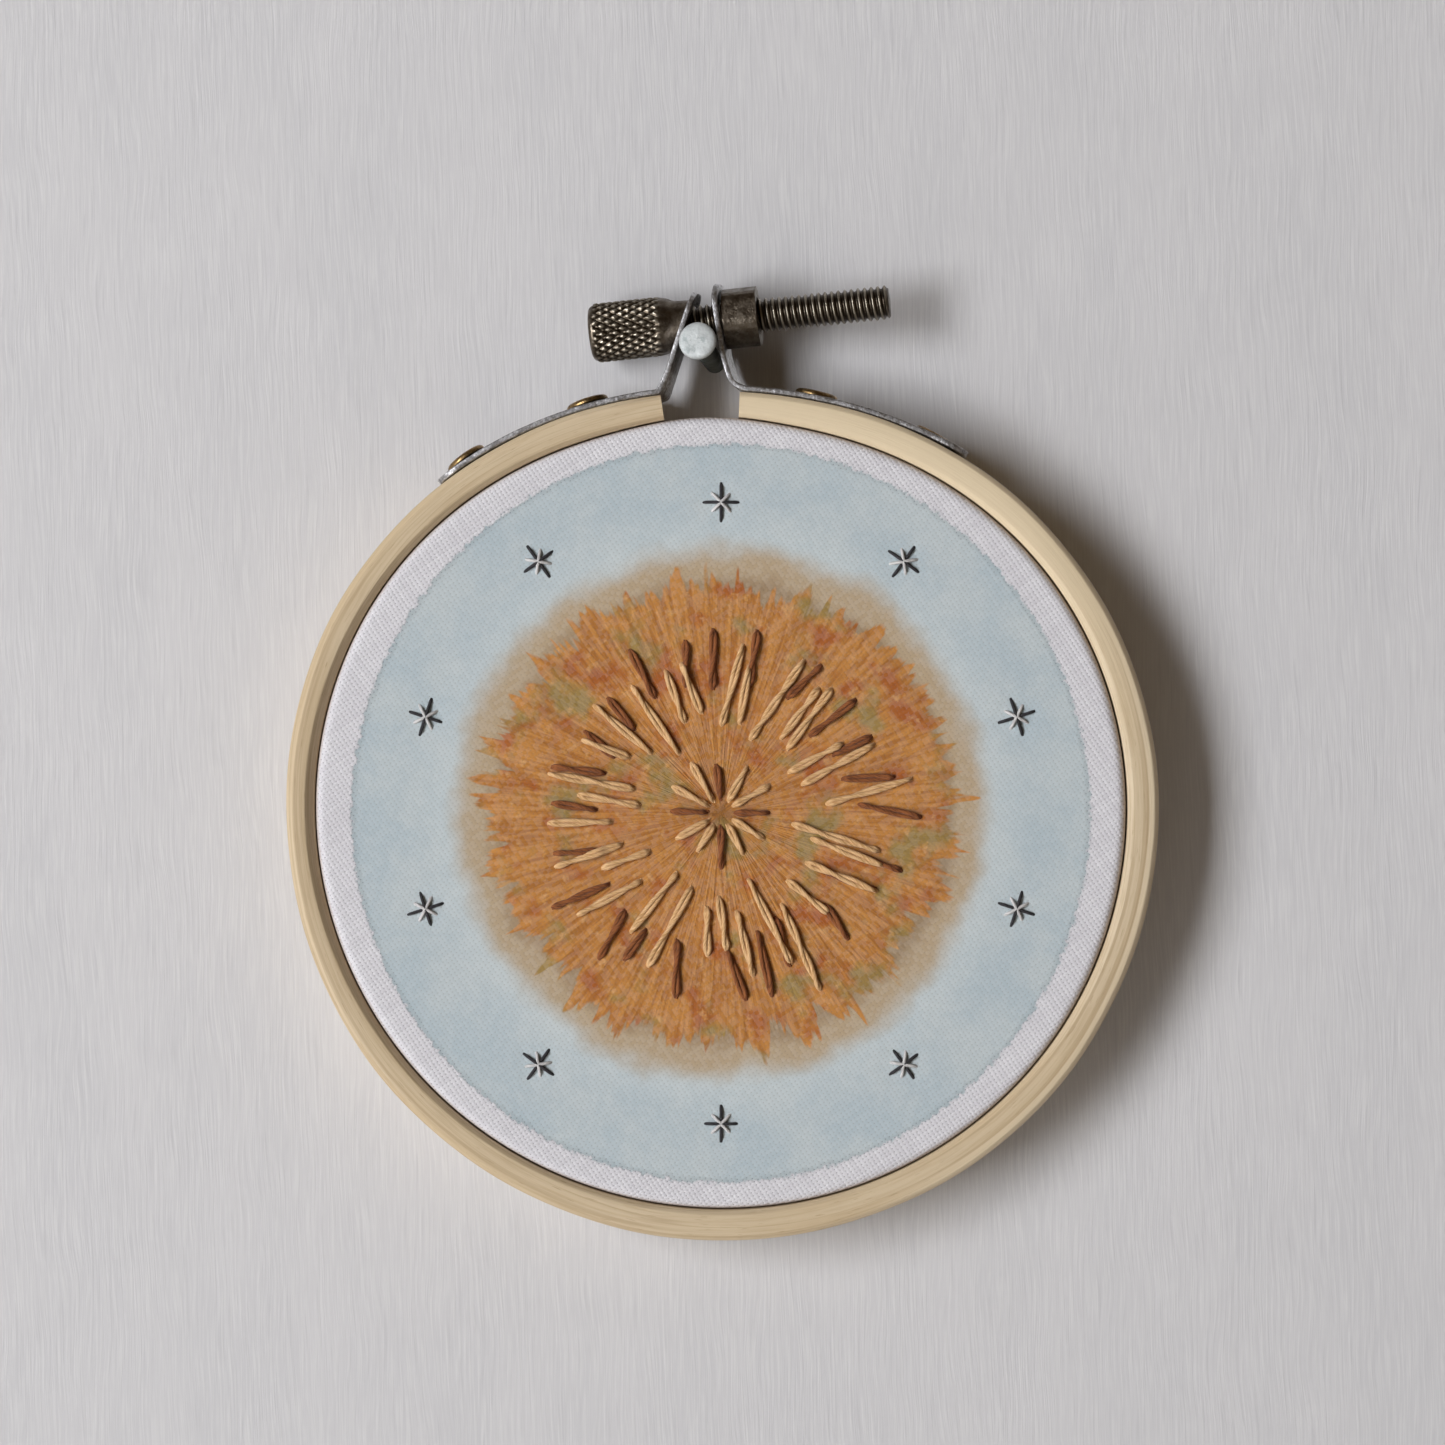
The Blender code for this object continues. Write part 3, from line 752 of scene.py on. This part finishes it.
def stitches(looks):
    """Lays every stitch in order, and the threads that cross the back from one stitch to the next."""
    draw = random.Random(5)
    shells = {colour: Shell() for colour in looks}
    earlier = []
    last_end = {}
    holes = []
    for a, b, colour, strands in stitch_plan():
        line, lift = lifted(a, b, earlier)
        radius = 0.21 if strands == 2 else 0.155
        earlier.append((a, b, radius * (1.7 if strands == 2 else 1.3)))
        phase = draw.uniform(0, TURN)
        twist = draw.uniform(7.0, 12.0)
        for k in range(strands):
            spread = 0.205 if strands == 2 else 0.0
            strand(shells[colour], line, lift, radius, twist, phase + math.pi * k, spread, SHEET_FRONT, -1)
        holes += [a, b]
        before = last_end.get(colour)
        if before and 0.5 < math.dist(before, a) < 14.0:
            start, end = np.array(before), np.array(a)
            line = start[None] + np.linspace(0, 1, 12)[:, None] * (end - start)[None]
            behind = SHEET_FRONT + SHEET_THICK
            strand(shells[colour], line, 0.0 * line[:, 0], radius, 9.0, phase, 0.0, behind, 1)
        last_end[colour] = b
    for colour, look in looks.items():
        shells[colour].build(f"stitches_{colour}", look, "hoop", "cloth", angle=60, weld=0.001 * MM)
    return holes


def cloth_piece(finish, holes, around=300):
    """A thin closed sheet: a tight round face, rolled over the inner ring and back between the rings."""
    flat_edge = SHEET_RADIUS - SHEET_ROLL
    radii = np.concatenate([[0.6], np.linspace(1.2, flat_edge, 92)])
    front = [(r, SHEET_FRONT) for r in radii]
    back = [(min(r, flat_edge), SHEET_FRONT + SHEET_THICK) for r in radii]
    thin = SHEET_ROLL - SHEET_THICK
    for k in range(1, 8):
        t = math.pi / 2 * k / 7
        front.append((flat_edge + SHEET_ROLL * math.sin(t), SHEET_FRONT + SHEET_ROLL * (1 - math.cos(t))))
        back.append((flat_edge + thin * math.sin(t), SHEET_FRONT + SHEET_ROLL - thin * math.cos(t)))
    for k in range(1, 9):
        depth = SHEET_FRONT + SHEET_ROLL + (SHEET_TRIM - SHEET_FRONT - SHEET_ROLL) * k / 8
        front.append((SHEET_RADIUS, depth))
        back.append((SHEET_RADIUS - SHEET_THICK, depth))
    angle = np.linspace(0, TURN, around, endpoint=False)
    shell = Shell()
    rows = []
    turn = (angle + math.pi) % TURN - math.pi
    slack = 0.03 * np.exp(-((turn / 0.87) ** 2))
    bulge = thinned(angle) - 0.04
    for r, y in front + back[::-1]:
        out = smooth((r - 30.0) / 7.5)
        push = outline(angle) * min(1.0, r / OUTER_INSIDE) + (bulge - slack) * out
        reach = r + push
        rows.append(np.stack([reach * np.cos(angle), np.full(around, y), reach * np.sin(angle)], axis=-1))
    rows = np.array(rows)
    flat = np.abs(rows[..., 1] - (SHEET_FRONT + SHEET_THICK / 2)) < SHEET_THICK
    dip = np.zeros(flat.shape)
    for x, z in holes:
        gap = (rows[..., 0] - x) ** 2 + (rows[..., 2] - z) ** 2
        dip += 0.15 * np.exp(-gap / 0.32**2)
    rows[..., 1] += np.where(flat, np.minimum(dip, 0.2), 0.0)
    shell.grid(world(rows), close_columns=True, cap=True)
    made = shell.build("cloth_sheet", finish, "hoop", "cloth", ("cloth",), angle=60)
    return made


# Metal fittings

def eased(points, per):
    """A smooth line through points, with per steps between two of them."""
    points = [Vector(p) for p in points]
    ends = [points[0] * 2 - points[1]] + points + [points[-1] * 2 - points[-2]]
    out = []
    for i in range(1, len(ends) - 2):
        p0, p1, p2, p3 = ends[i - 1 : i + 3]
        for k in range(per):
            t = k / per
            square, cube = 2 * p0 - 5 * p1 + 4 * p2 - p3, 3 * p1 - p0 - 3 * p2 + p3
            out.append(0.5 * (2 * p1 + (p2 - p0) * t + square * t * t + cube * t**3))
    out.append(points[-1])
    return out


def bracket_piece(name, node, ends, lift, tab, holes, finish, back, drop=0.0):
    """A steel strip along the wood, bent up into a tab, with round edges that show wear."""
    strip_end, strip_bend = (math.radians(v) for v in ends)
    on_wood = []
    for i in range(49):
        part = (i / 48) ** 1.2
        angle = strip_end + (strip_bend - strip_end) * part
        radius = STRIP_LINE + float(outline(angle)) + lift * (1 - part) ** 3
        on_wood.append(Vector((radius * math.cos(angle), radius * math.sin(angle))))
    bend_at = len(on_wood) - 1
    up = eased([on_wood[-2], on_wood[-1]] + [Vector(p) for p in tab], per=7)[7:]
    line = on_wood[:-1] + up
    run = [0.0]
    for a, b in zip(line, line[1:]):
        run.append(run[-1] + (b - a).length)
    rows = []
    half = STEEL / 2
    edge = STEEL_EDGE
    for i, (point, here) in enumerate(zip(line, run)):
        before, after = line[max(i - 1, 0)], line[min(i + 1, len(line) - 1)]
        way = (after - before).normalized()
        out = Vector((-way.y, way.x))
        inset = 0.0
        for gap in (here, run[-1] - here):
            if gap < STRIP_CORNER:
                inset += STRIP_CORNER - math.sqrt(max(0.0, STRIP_CORNER**2 - (STRIP_CORNER - gap) ** 2))
        twist = TAB_TWIST * min(1.0, max(0.0, (here - run[bend_at]) / 1.6))
        low, high = STRIP_FRONT + inset, back - inset
        dent = 0.035 * math.sin(here * 1.9 + 0.4) + 0.02 * math.sin(here * 5.1)
        section = []
        for side, y, start in ((1, low, 180), (1, high, 90), (-1, high, 0), (-1, low, -90)):
            cy = y + edge if y == low else y - edge
            for k in range(4):
                section.append(((half - edge) * side, cy, math.radians(start - 90 * k / 3)))
        ring = []
        for offset, cy, t in section:
            across = offset + edge * math.sin(t)
            deep = cy + edge * math.cos(t)
            wave = dent if deep < low + 1 else 0.0
            spot = point + out * across
            part = (deep - STRIP_FRONT) / (back - STRIP_FRONT)
            sag = drop * part * math.exp(-(((here - run[bend_at] - 0.5) / 0.8) ** 2))
            x = spot.x + twist * (deep - STRIP_FRONT) + 0.5 * sag
            ring.append((x, deep + wave * 0.6, spot.y - sag))
        rows.append(ring)
    shell = Shell()
    shell.grid(world(np.array(rows)), close_columns=True, cap=True)
    made = shell.build(name, finish, "hoop", "steel", (node,), angle=40)
    cut_away(made, holes)
    return made


def knob_pieces(knurled, threaded):
    """The thumbscrew: a diamond-knurled knob with a cone and neck, and a right-hand thread."""
    place = Matrix.Translation(SCREW_MIDDLE) @ SCREW_FRAME
    around = 240
    profile = [(0.02, -10.55), (1.2, -10.56), (2.2, -10.6)]
    for k in range(1, 7):
        t = math.pi / 2 * k / 6
        profile.append((2.2 + 0.47 * math.sin(t), -10.6 + 0.5 * (1 - math.cos(t))))
    profile += [(KNURL_RADIUS, KNURL_START + KNURL_LENGTH * k / KNURL_ROWS) for k in range(KNURL_ROWS + 1)]
    profile += [(2.76, -3.65), (2.7, -3.35), (2.63, -3.1), (2.54, -2.86), (2.44, -2.66), (2.36, -2.48)]
    profile += [(2.3, -2.25), (2.26, -1.9), (2.22, -0.95), (1.7, -0.86), (0.02, -0.86)]
    angle = np.linspace(0, TURN, around, endpoint=False)
    radius = np.array([p[0] for p in profile])[:, None] + 0 * angle
    along = np.array([p[1] for p in profile])[:, None] + 0 * angle
    ridge = []
    for sign in (1, -1):
        phase = KNURL_STARTS * angle / TURN + sign * along / KNURL_PITCH
        ridge.append(1 - np.abs(2 * (phase % 1.0) - 1))
    diamond = np.minimum(*ridge)
    strength = smooth((along + 10.2) / 0.35) * smooth((-3.55 - along) / 0.7)
    radius = radius + strength * (0.36 * np.minimum(diamond, 0.66) - 0.16)
    local = np.stack([along, radius * np.cos(angle), radius * np.sin(angle)], axis=-1)
    shell = Shell()
    shell.grid(world(move(local, place)), close_columns=True, cap=True)
    shell.build("thumbscrew_knob", knurled, "thumbscrew", "antique_brass", ("thumbscrew",), angle=50)

    steps = 48
    rows = int((SCREW_END - THREAD_START) / PITCH * 10)
    s = np.linspace(THREAD_START, SCREW_END, rows + 1)[:, None]
    angle = np.linspace(0, TURN, steps, endpoint=False)[None, :]
    wave = np.abs(2 * ((s / PITCH - angle / TURN) % 1.0) - 1)
    radius = MINOR + (MAJOR - MINOR) * smooth(wave * 1.15 - 0.08)
    radius = np.minimum(radius, 1.36 + 1.2 * (SCREW_END - s))
    local = np.stack([s + 0 * angle, radius * np.cos(angle), radius * np.sin(angle)], axis=-1)
    tip = []
    round_tip = angle[0]
    for r, at in ((1.1, 0.03), (0.6, 0.05), (0.02, 0.05)):
        points = [SCREW_END + at + 0 * round_tip, r * np.cos(round_tip), r * np.sin(round_tip)]
        tip.append(np.stack(points, axis=-1))
    local = np.concatenate([local, np.array(tip)])
    shell = Shell()
    shell.grid(world(move(local, place)), close_columns=True, cap=True)
    shell.build("thumbscrew_thread", threaded, "thumbscrew", "antique_brass", ("thumbscrew",), angle=50)


def nut_piece(finish):
    """A hex nut whose corners are chamfered at both ends."""
    place = Matrix.Translation(SCREW_MIDDLE) @ SCREW_FRAME
    steps = 144
    angle = np.linspace(0, TURN, steps, endpoint=False)
    facet = (angle - NUT_TURN) % (TURN / 6) - TURN / 12
    corner_wear = 0.16 * np.exp(-(((TURN / 12 - np.abs(facet)) / 0.12) ** 2))
    hexagon = NUT_ACROSS / 2 / np.cos(facet) - corner_wear
    rows = []
    low, high = NUT_START, NUT_START + NUT_LENGTH
    # Place along the nut, and how far its corners may stand out there
    stations = [(0.0, 0.22), (0.04, 0.3), (0.12, 0.4)]
    stations += [(at, 9) for at in (0.25, 1.0, 1.65, 2.3, 3.05)]
    stations += [(3.18, 0.4), (3.26, 0.3), (NUT_LENGTH, 0.22)]
    rows.append((1.7 + 0 * angle, low + 0.15))
    rows.append((1.85 + 0 * angle, low))
    for at, room in stations:
        rows.append((np.minimum(hexagon, NUT_ACROSS / 2 * 0.97 + room), low + at))
    rows.append((1.85 + 0 * angle, high))
    rows.append((1.7 + 0 * angle, high - 0.15))
    turn = (np.cos(angle), np.sin(angle))
    grid = [np.stack([at + 0 * angle, r * turn[0], r * turn[1]], axis=-1) for r, at in rows]
    shell = Shell()
    shell.grid(world(move(np.array(grid), place)), close_rows=True, close_columns=True)
    return shell.build("hex_nut", finish, "nut", "antique_brass", ("nut",), angle=40)


def eyelet_piece(name, degrees, lift, finish):
    """A rolled brass eyelet, set a little askew."""
    profile = [
        (0.75, -3.35), (0.75, -0.1), (0.82, 0.12), (1.0, 0.3), (1.3, 0.42), (1.6, 0.46), (1.85, 0.4),
        (2.02, 0.25), (2.06, 0.08), (2.05, -0.02), (1.98, -0.06), (1.3, -0.02), (1.15, -0.1), (1.15, -3.35),
    ]
    tilt = Matrix.Rotation(math.radians(EYELET_TILTS["left" if "left" in name else "right"]), 4, "X")
    place = eyelet_matrix(degrees, lift + 0.06) @ tilt @ Matrix.Rotation(-math.pi / 2, 4, "Y")
    shell = Shell()
    shell.grid(world(turned(profile, 56, place)), close_rows=True, close_columns=True)
    return shell.build(name + "_rolled", finish, "hoop", "brass", (name,), angle=50)


def nail_piece(finish):
    """A zinc nail: a slightly domed, dented head and a shank that ends at the wall."""
    way = NAIL_WALL_END - NAIL_HEAD_FACE
    place = Matrix.Translation(NAIL_HEAD_FACE) @ way.to_track_quat("X", "Z").to_matrix().to_4x4()
    profile = [
        (0.02, -0.06), (0.5, -0.05), (1.0, -0.03), (1.35, 0.0), (1.6, 0.05), (1.72, 0.14), (1.78, 0.28),
        (1.8, 0.5), (1.76, 0.68), (1.62, 0.82), (1.3, 0.9), (1.08, 0.94), (0.99, 1.05), (0.99, 1.4),
    ]
    profile += [(0.99, 1.4 + (way.length + 0.4 - 1.4) * k / 6) for k in range(1, 7)]
    grid = turned(profile, 48, place)
    angle = np.linspace(0, TURN, 48, endpoint=False)
    for i, (r, s) in enumerate(profile[:9]):
        part = r / 1.8
        grid[i, :, 1] += 0.03 * np.sin(3 * angle + 0.6) * part + 0.02 * np.sin(5 * angle + 2.0) * part
    # The shank is cut off flush with the wall
    grid[..., 1] = np.minimum(grid[..., 1], 0.0)
    shell = Shell()
    shell.grid(world(grid), close_columns=True, cap=True)
    return shell.build("zinc_nail", finish, "hoop", "zinc", ("nail",), angle=50)


# Stage

def flat_stage(name, corners, finish):
    mesh = bpy.data.meshes.new(name)
    mesh.from_pydata(corners, [], [list(range(len(corners)))])
    mesh.materials.append(finish)
    made = bpy.data.objects.new(name, mesh)
    bpy.context.scene.collection.objects.link(made)
    return made


def wall_look():
    """Painted wall: pale, with fine brush lines that run almost straight down; its back is clear."""
    look = Look("painted_wall", roughness=0.6)
    x, y, z = look.place()
    lean = look.plus(x, look.times(z, 0.03))
    wander = look.noise(look.stretched((x, 0.5), (z, 0.2)), 0.35, 1)
    lean = look.plus(lean, look.times(wander, 1.6))
    fine = look.noise(look.stretched((lean, 5.6), (z, 0.16)), 1, 2, 0.6)
    sparse = look.noise(look.stretched((lean, 3.0), (z, 0.11), seed=9.0), 1, 1)
    broad = look.noise(look.stretched((lean, 0.12), (z, 0.03)), 1, 2)
    colour = look.mix(look.fit(broad, 0.3, 0.7), (0.605, 0.60, 0.615), (0.635, 0.627, 0.64))
    colour = look.mix(look.fit(fine, 0.42, 0.68, 0.0, 0.85), colour, (0.685, 0.68, 0.685))
    colour = look.mix(look.fit(sparse, 0.62, 0.72, 0.0, 0.5), colour, (0.55, 0.545, 0.56))
    look.set(Base_Color=colour)
    strokes = look.plus(look.times(fine, 0.5), look.times(sparse, 0.5))
    look.bump(strokes, 0.035)
    clear = look.tree.nodes.new("ShaderNodeBsdfTransparent")
    which = look.tree.nodes.new("ShaderNodeMixShader")
    back = look.tree.nodes.new("ShaderNodeNewGeometry")
    out = look.tree.nodes["Material Output"]
    look.tree.links.new(back.outputs["Backfacing"], which.inputs[0])
    look.tree.links.new(look.shader.outputs[0], which.inputs[1])
    look.tree.links.new(clear.outputs[0], which.inputs[2])
    look.tree.links.new(which.outputs[0], out.inputs["Surface"])
    return look.material


def floor_look():
    look = Look("pale_floor", roughness=0.7)
    x, y, z = look.place()
    fine = look.noise(look.vector(x, y, z), 0.05, 3, 0.6)
    look.set(Base_Color=look.mix(fine, (0.70, 0.67, 0.62), (0.74, 0.71, 0.66)))
    return look.material


def lamp(name, place, target, size, power, colour):
    data = bpy.data.lights.new(name, "AREA")
    data.shape = "RECTANGLE"
    data.size, data.size_y = size
    data.energy = power
    data.color = colour
    made = bpy.data.objects.new(name, data)
    made.location = place
    made.rotation_euler = (Vector(target) - Vector(place)).to_track_quat("-Z", "Y").to_euler()
    bpy.context.scene.collection.objects.link(made)
    return made


def set_stage():
    """A wall behind the hoop, a floor below the view, a soft key light from the left and the camera."""
    wall_corners = [(-1, FLOOR_LEVEL), (1, FLOOR_LEVEL), (1, WALL_TOP), (-1, WALL_TOP)]
    corners = [(side * STAGE_HALF, WALL_BACK, z) for side, z in wall_corners]
    wall = flat_stage("wall", corners, wall_look())
    wall.visible_shadow = False
    floor_corners = [(-1, -1), (1, -1), (1, 1), (-1, 1)]
    corners = [(side * STAGE_HALF, depth * FLOOR_HALF, FLOOR_LEVEL) for side, depth in floor_corners]
    flat_stage("floor", corners, floor_look())
    middle = HOOP * MM
    level = math.cos(KEY_UP)
    key_way = Vector((-math.sin(KEY_SIDE) * level, -math.cos(KEY_SIDE) * level, math.sin(KEY_UP)))
    lamp("key_light", middle + key_way * KEY_AWAY, middle, KEY_SIZE, KEY_POWER, (0.952, 0.968, 1.0))
    lamp("back_light", middle + Vector((0.5, 1.1, 0.5)), middle, (0.6, 0.6), 2.0, (1.0, 1.0, 1.0))
    sky = bpy.data.worlds.new("soft_room")
    sky.use_nodes = True
    sky.node_tree.nodes["Background"].inputs[0].default_value = (1.0, 0.64, 0.30, 1.0)
    sky.node_tree.nodes["Background"].inputs[1].default_value = 0.066
    bpy.context.scene.world = sky

    data = bpy.data.cameras.new("photo_camera")
    data.sensor_width = SENSOR
    data.lens = LENS
    data.clip_start = 0.01
    camera = bpy.data.objects.new("photo_camera", data)
    camera.location = CAMERA_PLACE
    camera.rotation_euler = (math.pi / 2, 0.0, 0.0)
    bpy.context.scene.collection.objects.link(camera)
    bpy.context.scene.camera = camera
    bpy.context.scene.view_settings.view_transform = "Standard"


def main():
    # The steel tabs get painted shade on the faces that look at each other
    steel = metal_look(
        "dull_steel", (0.34, 0.335, 0.34), (0.66, 0.66, 0.68), (0.20, 0.19, 0.19), 0.45,
        grain=(1.0, 0.5, 1.0), tabs=True,
    )
    brass = metal_look("tarnished_brass", (0.25, 0.16, 0.07), (0.37, 0.25, 0.115), (0.09, 0.06, 0.028), 0.36)
    bronze = [(0.115, 0.092, 0.068), (0.185, 0.158, 0.125), (0.055, 0.042, 0.03), 0.36]
    # The knurl and the thread get painted shade at their roots and a painted highlight on their crests
    knurled = metal_look("antique_brass_knurled", *bronze, crests=(2.62, 2.8, -10.0, -3.7))
    crests = (MINOR + 0.04, MAJOR - 0.04, THREAD_START, SCREW_END + 1.0)
    threaded = metal_look("antique_brass_threaded", *bronze, crests=crests)
    smooth_bronze = metal_look("antique_brass_smooth", *bronze, stain_from=0.6)
    # The nail's shank behind its head is darkened with painted shade
    zinc = metal_look(
        "zinc_plate", (0.50, 0.53, 0.53), (0.60, 0.63, 0.63), (0.36, 0.41, 0.41), 0.55, metallic=0.3,
        deep=(-9.45, -9.0, (0.085, 0.10, 0.09)),
    )

    # The outer ring's wood is given painted shade on the left and painted light at the upper and lower right
    outer = ring_piece(
        "wooden_outer_ring", "outer_ring", OUTER_INSIDE, OUTER_WALL, OUTER_FRONT, outer_edges,
        wood_look("pale_bent_wood", True), GAP_LEFT, TURN - (GAP_LEFT - GAP_RIGHT), 380,
    )
    cut_away(outer, [(eyelet_matrix(degrees), WOOD_EYELET_HOLE, 12.0) for degrees, lift in EYELETS.values()])
    ring_piece(
        "wooden_inner_ring", "inner_ring", INNER_INSIDE, INNER_WALL, INNER_FRONT, inner_edges,
        wood_look("plain_bent_wood", False), INNER_START, TURN, 300,
    )

    looks = {
        "straw": thread_look("straw_thread", (0.80, 0.52, 0.27), (0.50, 0.27, 0.10)),
        "brown": thread_look("brown_thread", (0.32, 0.105, 0.028), (0.13, 0.038, 0.010)),
        "charcoal": thread_look("charcoal_thread", (0.045, 0.043, 0.048), (0.014, 0.013, 0.016)),
        "white": thread_look("white_thread", (0.76, 0.75, 0.74), (0.45, 0.44, 0.44)),
    }
    holes = stitches(looks)
    cloth_piece(cloth_look(), holes)

    along_x = SCREW_FRAME @ Matrix.Rotation(math.pi / 2, 4, "Y")

    def holes_of(side):
        out = [(Matrix.Translation(SCREW_MIDDLE) @ along_x, TAB_HOLES[side], 12.0)]
        for name, (degrees, lift) in EYELETS.items():
            if side in name:
                out.append((eyelet_matrix(degrees), STEEL_EYELET_HOLE, 4.0))
        return out

    bracket_piece(
        "steel_bracket_left", "bracket_left", (130.5, 98.6), 0.0,
        [(-5.55, 41.15), (-5.1, 42.2), (-4.4, 44.35), (-3.6, 46.8), (-2.75, 49.35), (-2.62, 49.75)],
        holes_of("left"), steel, STRIP_BACK, drop=0.7,
    )
    bracket_piece(
        "steel_bracket_right", "bracket_right", (55.4, 86.6), 0.35,
        [(1.25, 41.0), (0.72, 41.85), (0.12, 43.9), (-0.3, 46.4), (-0.68, 49.1), (-0.55, 50.6)],
        holes_of("right"), steel, RIGHT_STRIP_BACK,
    )
    for name, (degrees, lift) in EYELETS.items():
        eyelet_piece(name, degrees, lift, brass)
    knob_pieces(knurled, threaded)
    nut_piece(smooth_bronze)
    nail_piece(zinc)
    set_stage()
    bpy.context.view_layer.update()


main()
